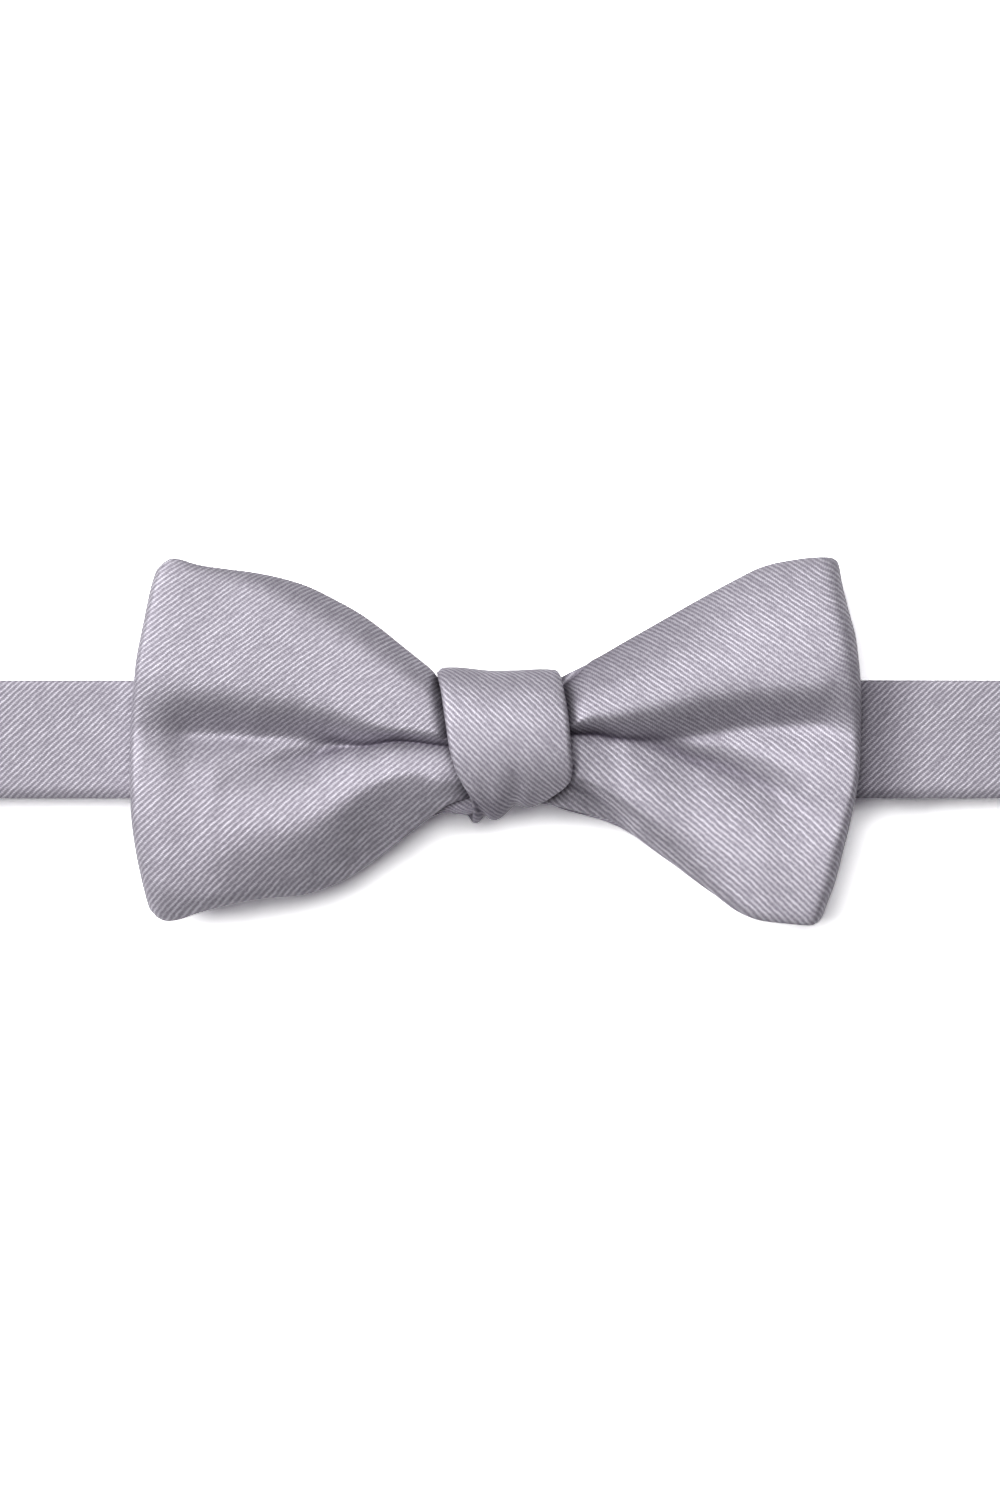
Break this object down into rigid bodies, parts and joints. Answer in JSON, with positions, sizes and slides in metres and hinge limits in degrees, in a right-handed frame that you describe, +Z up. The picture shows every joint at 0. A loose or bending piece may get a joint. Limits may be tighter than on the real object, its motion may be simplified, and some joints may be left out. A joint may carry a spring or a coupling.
{
  "type": "pre-tied bow tie",
  "caption": "Pre-tied bow tie in ribbed silk: two pinched cloth loops held by a wrapped knot on a closed flat neck band, lying on its back",
  "frame": {"origin": "bottom centre of the bounding box, on the surface that it lies on", "axes": "+X across the bow and along the band, +Y from the bow's lower edge to its upper edge, +Z up out of its front"},
  "size_m": [0.197, 0.0598, 0.021],
  "materials": {
    "ribbed_silk": "lilac grey silk with fine slanted ribs and a soft sheen",
    "clasp_metal": "plain bright steel, lightly brushed"
  },
  "bodies": {
    "root": {"left_wing": "ribbed_silk", "right_wing": "ribbed_silk", "knot_wrap": "ribbed_silk", "neck_band": "ribbed_silk", "band_clasp": "clasp_metal"}
  },
  "joints": []
}
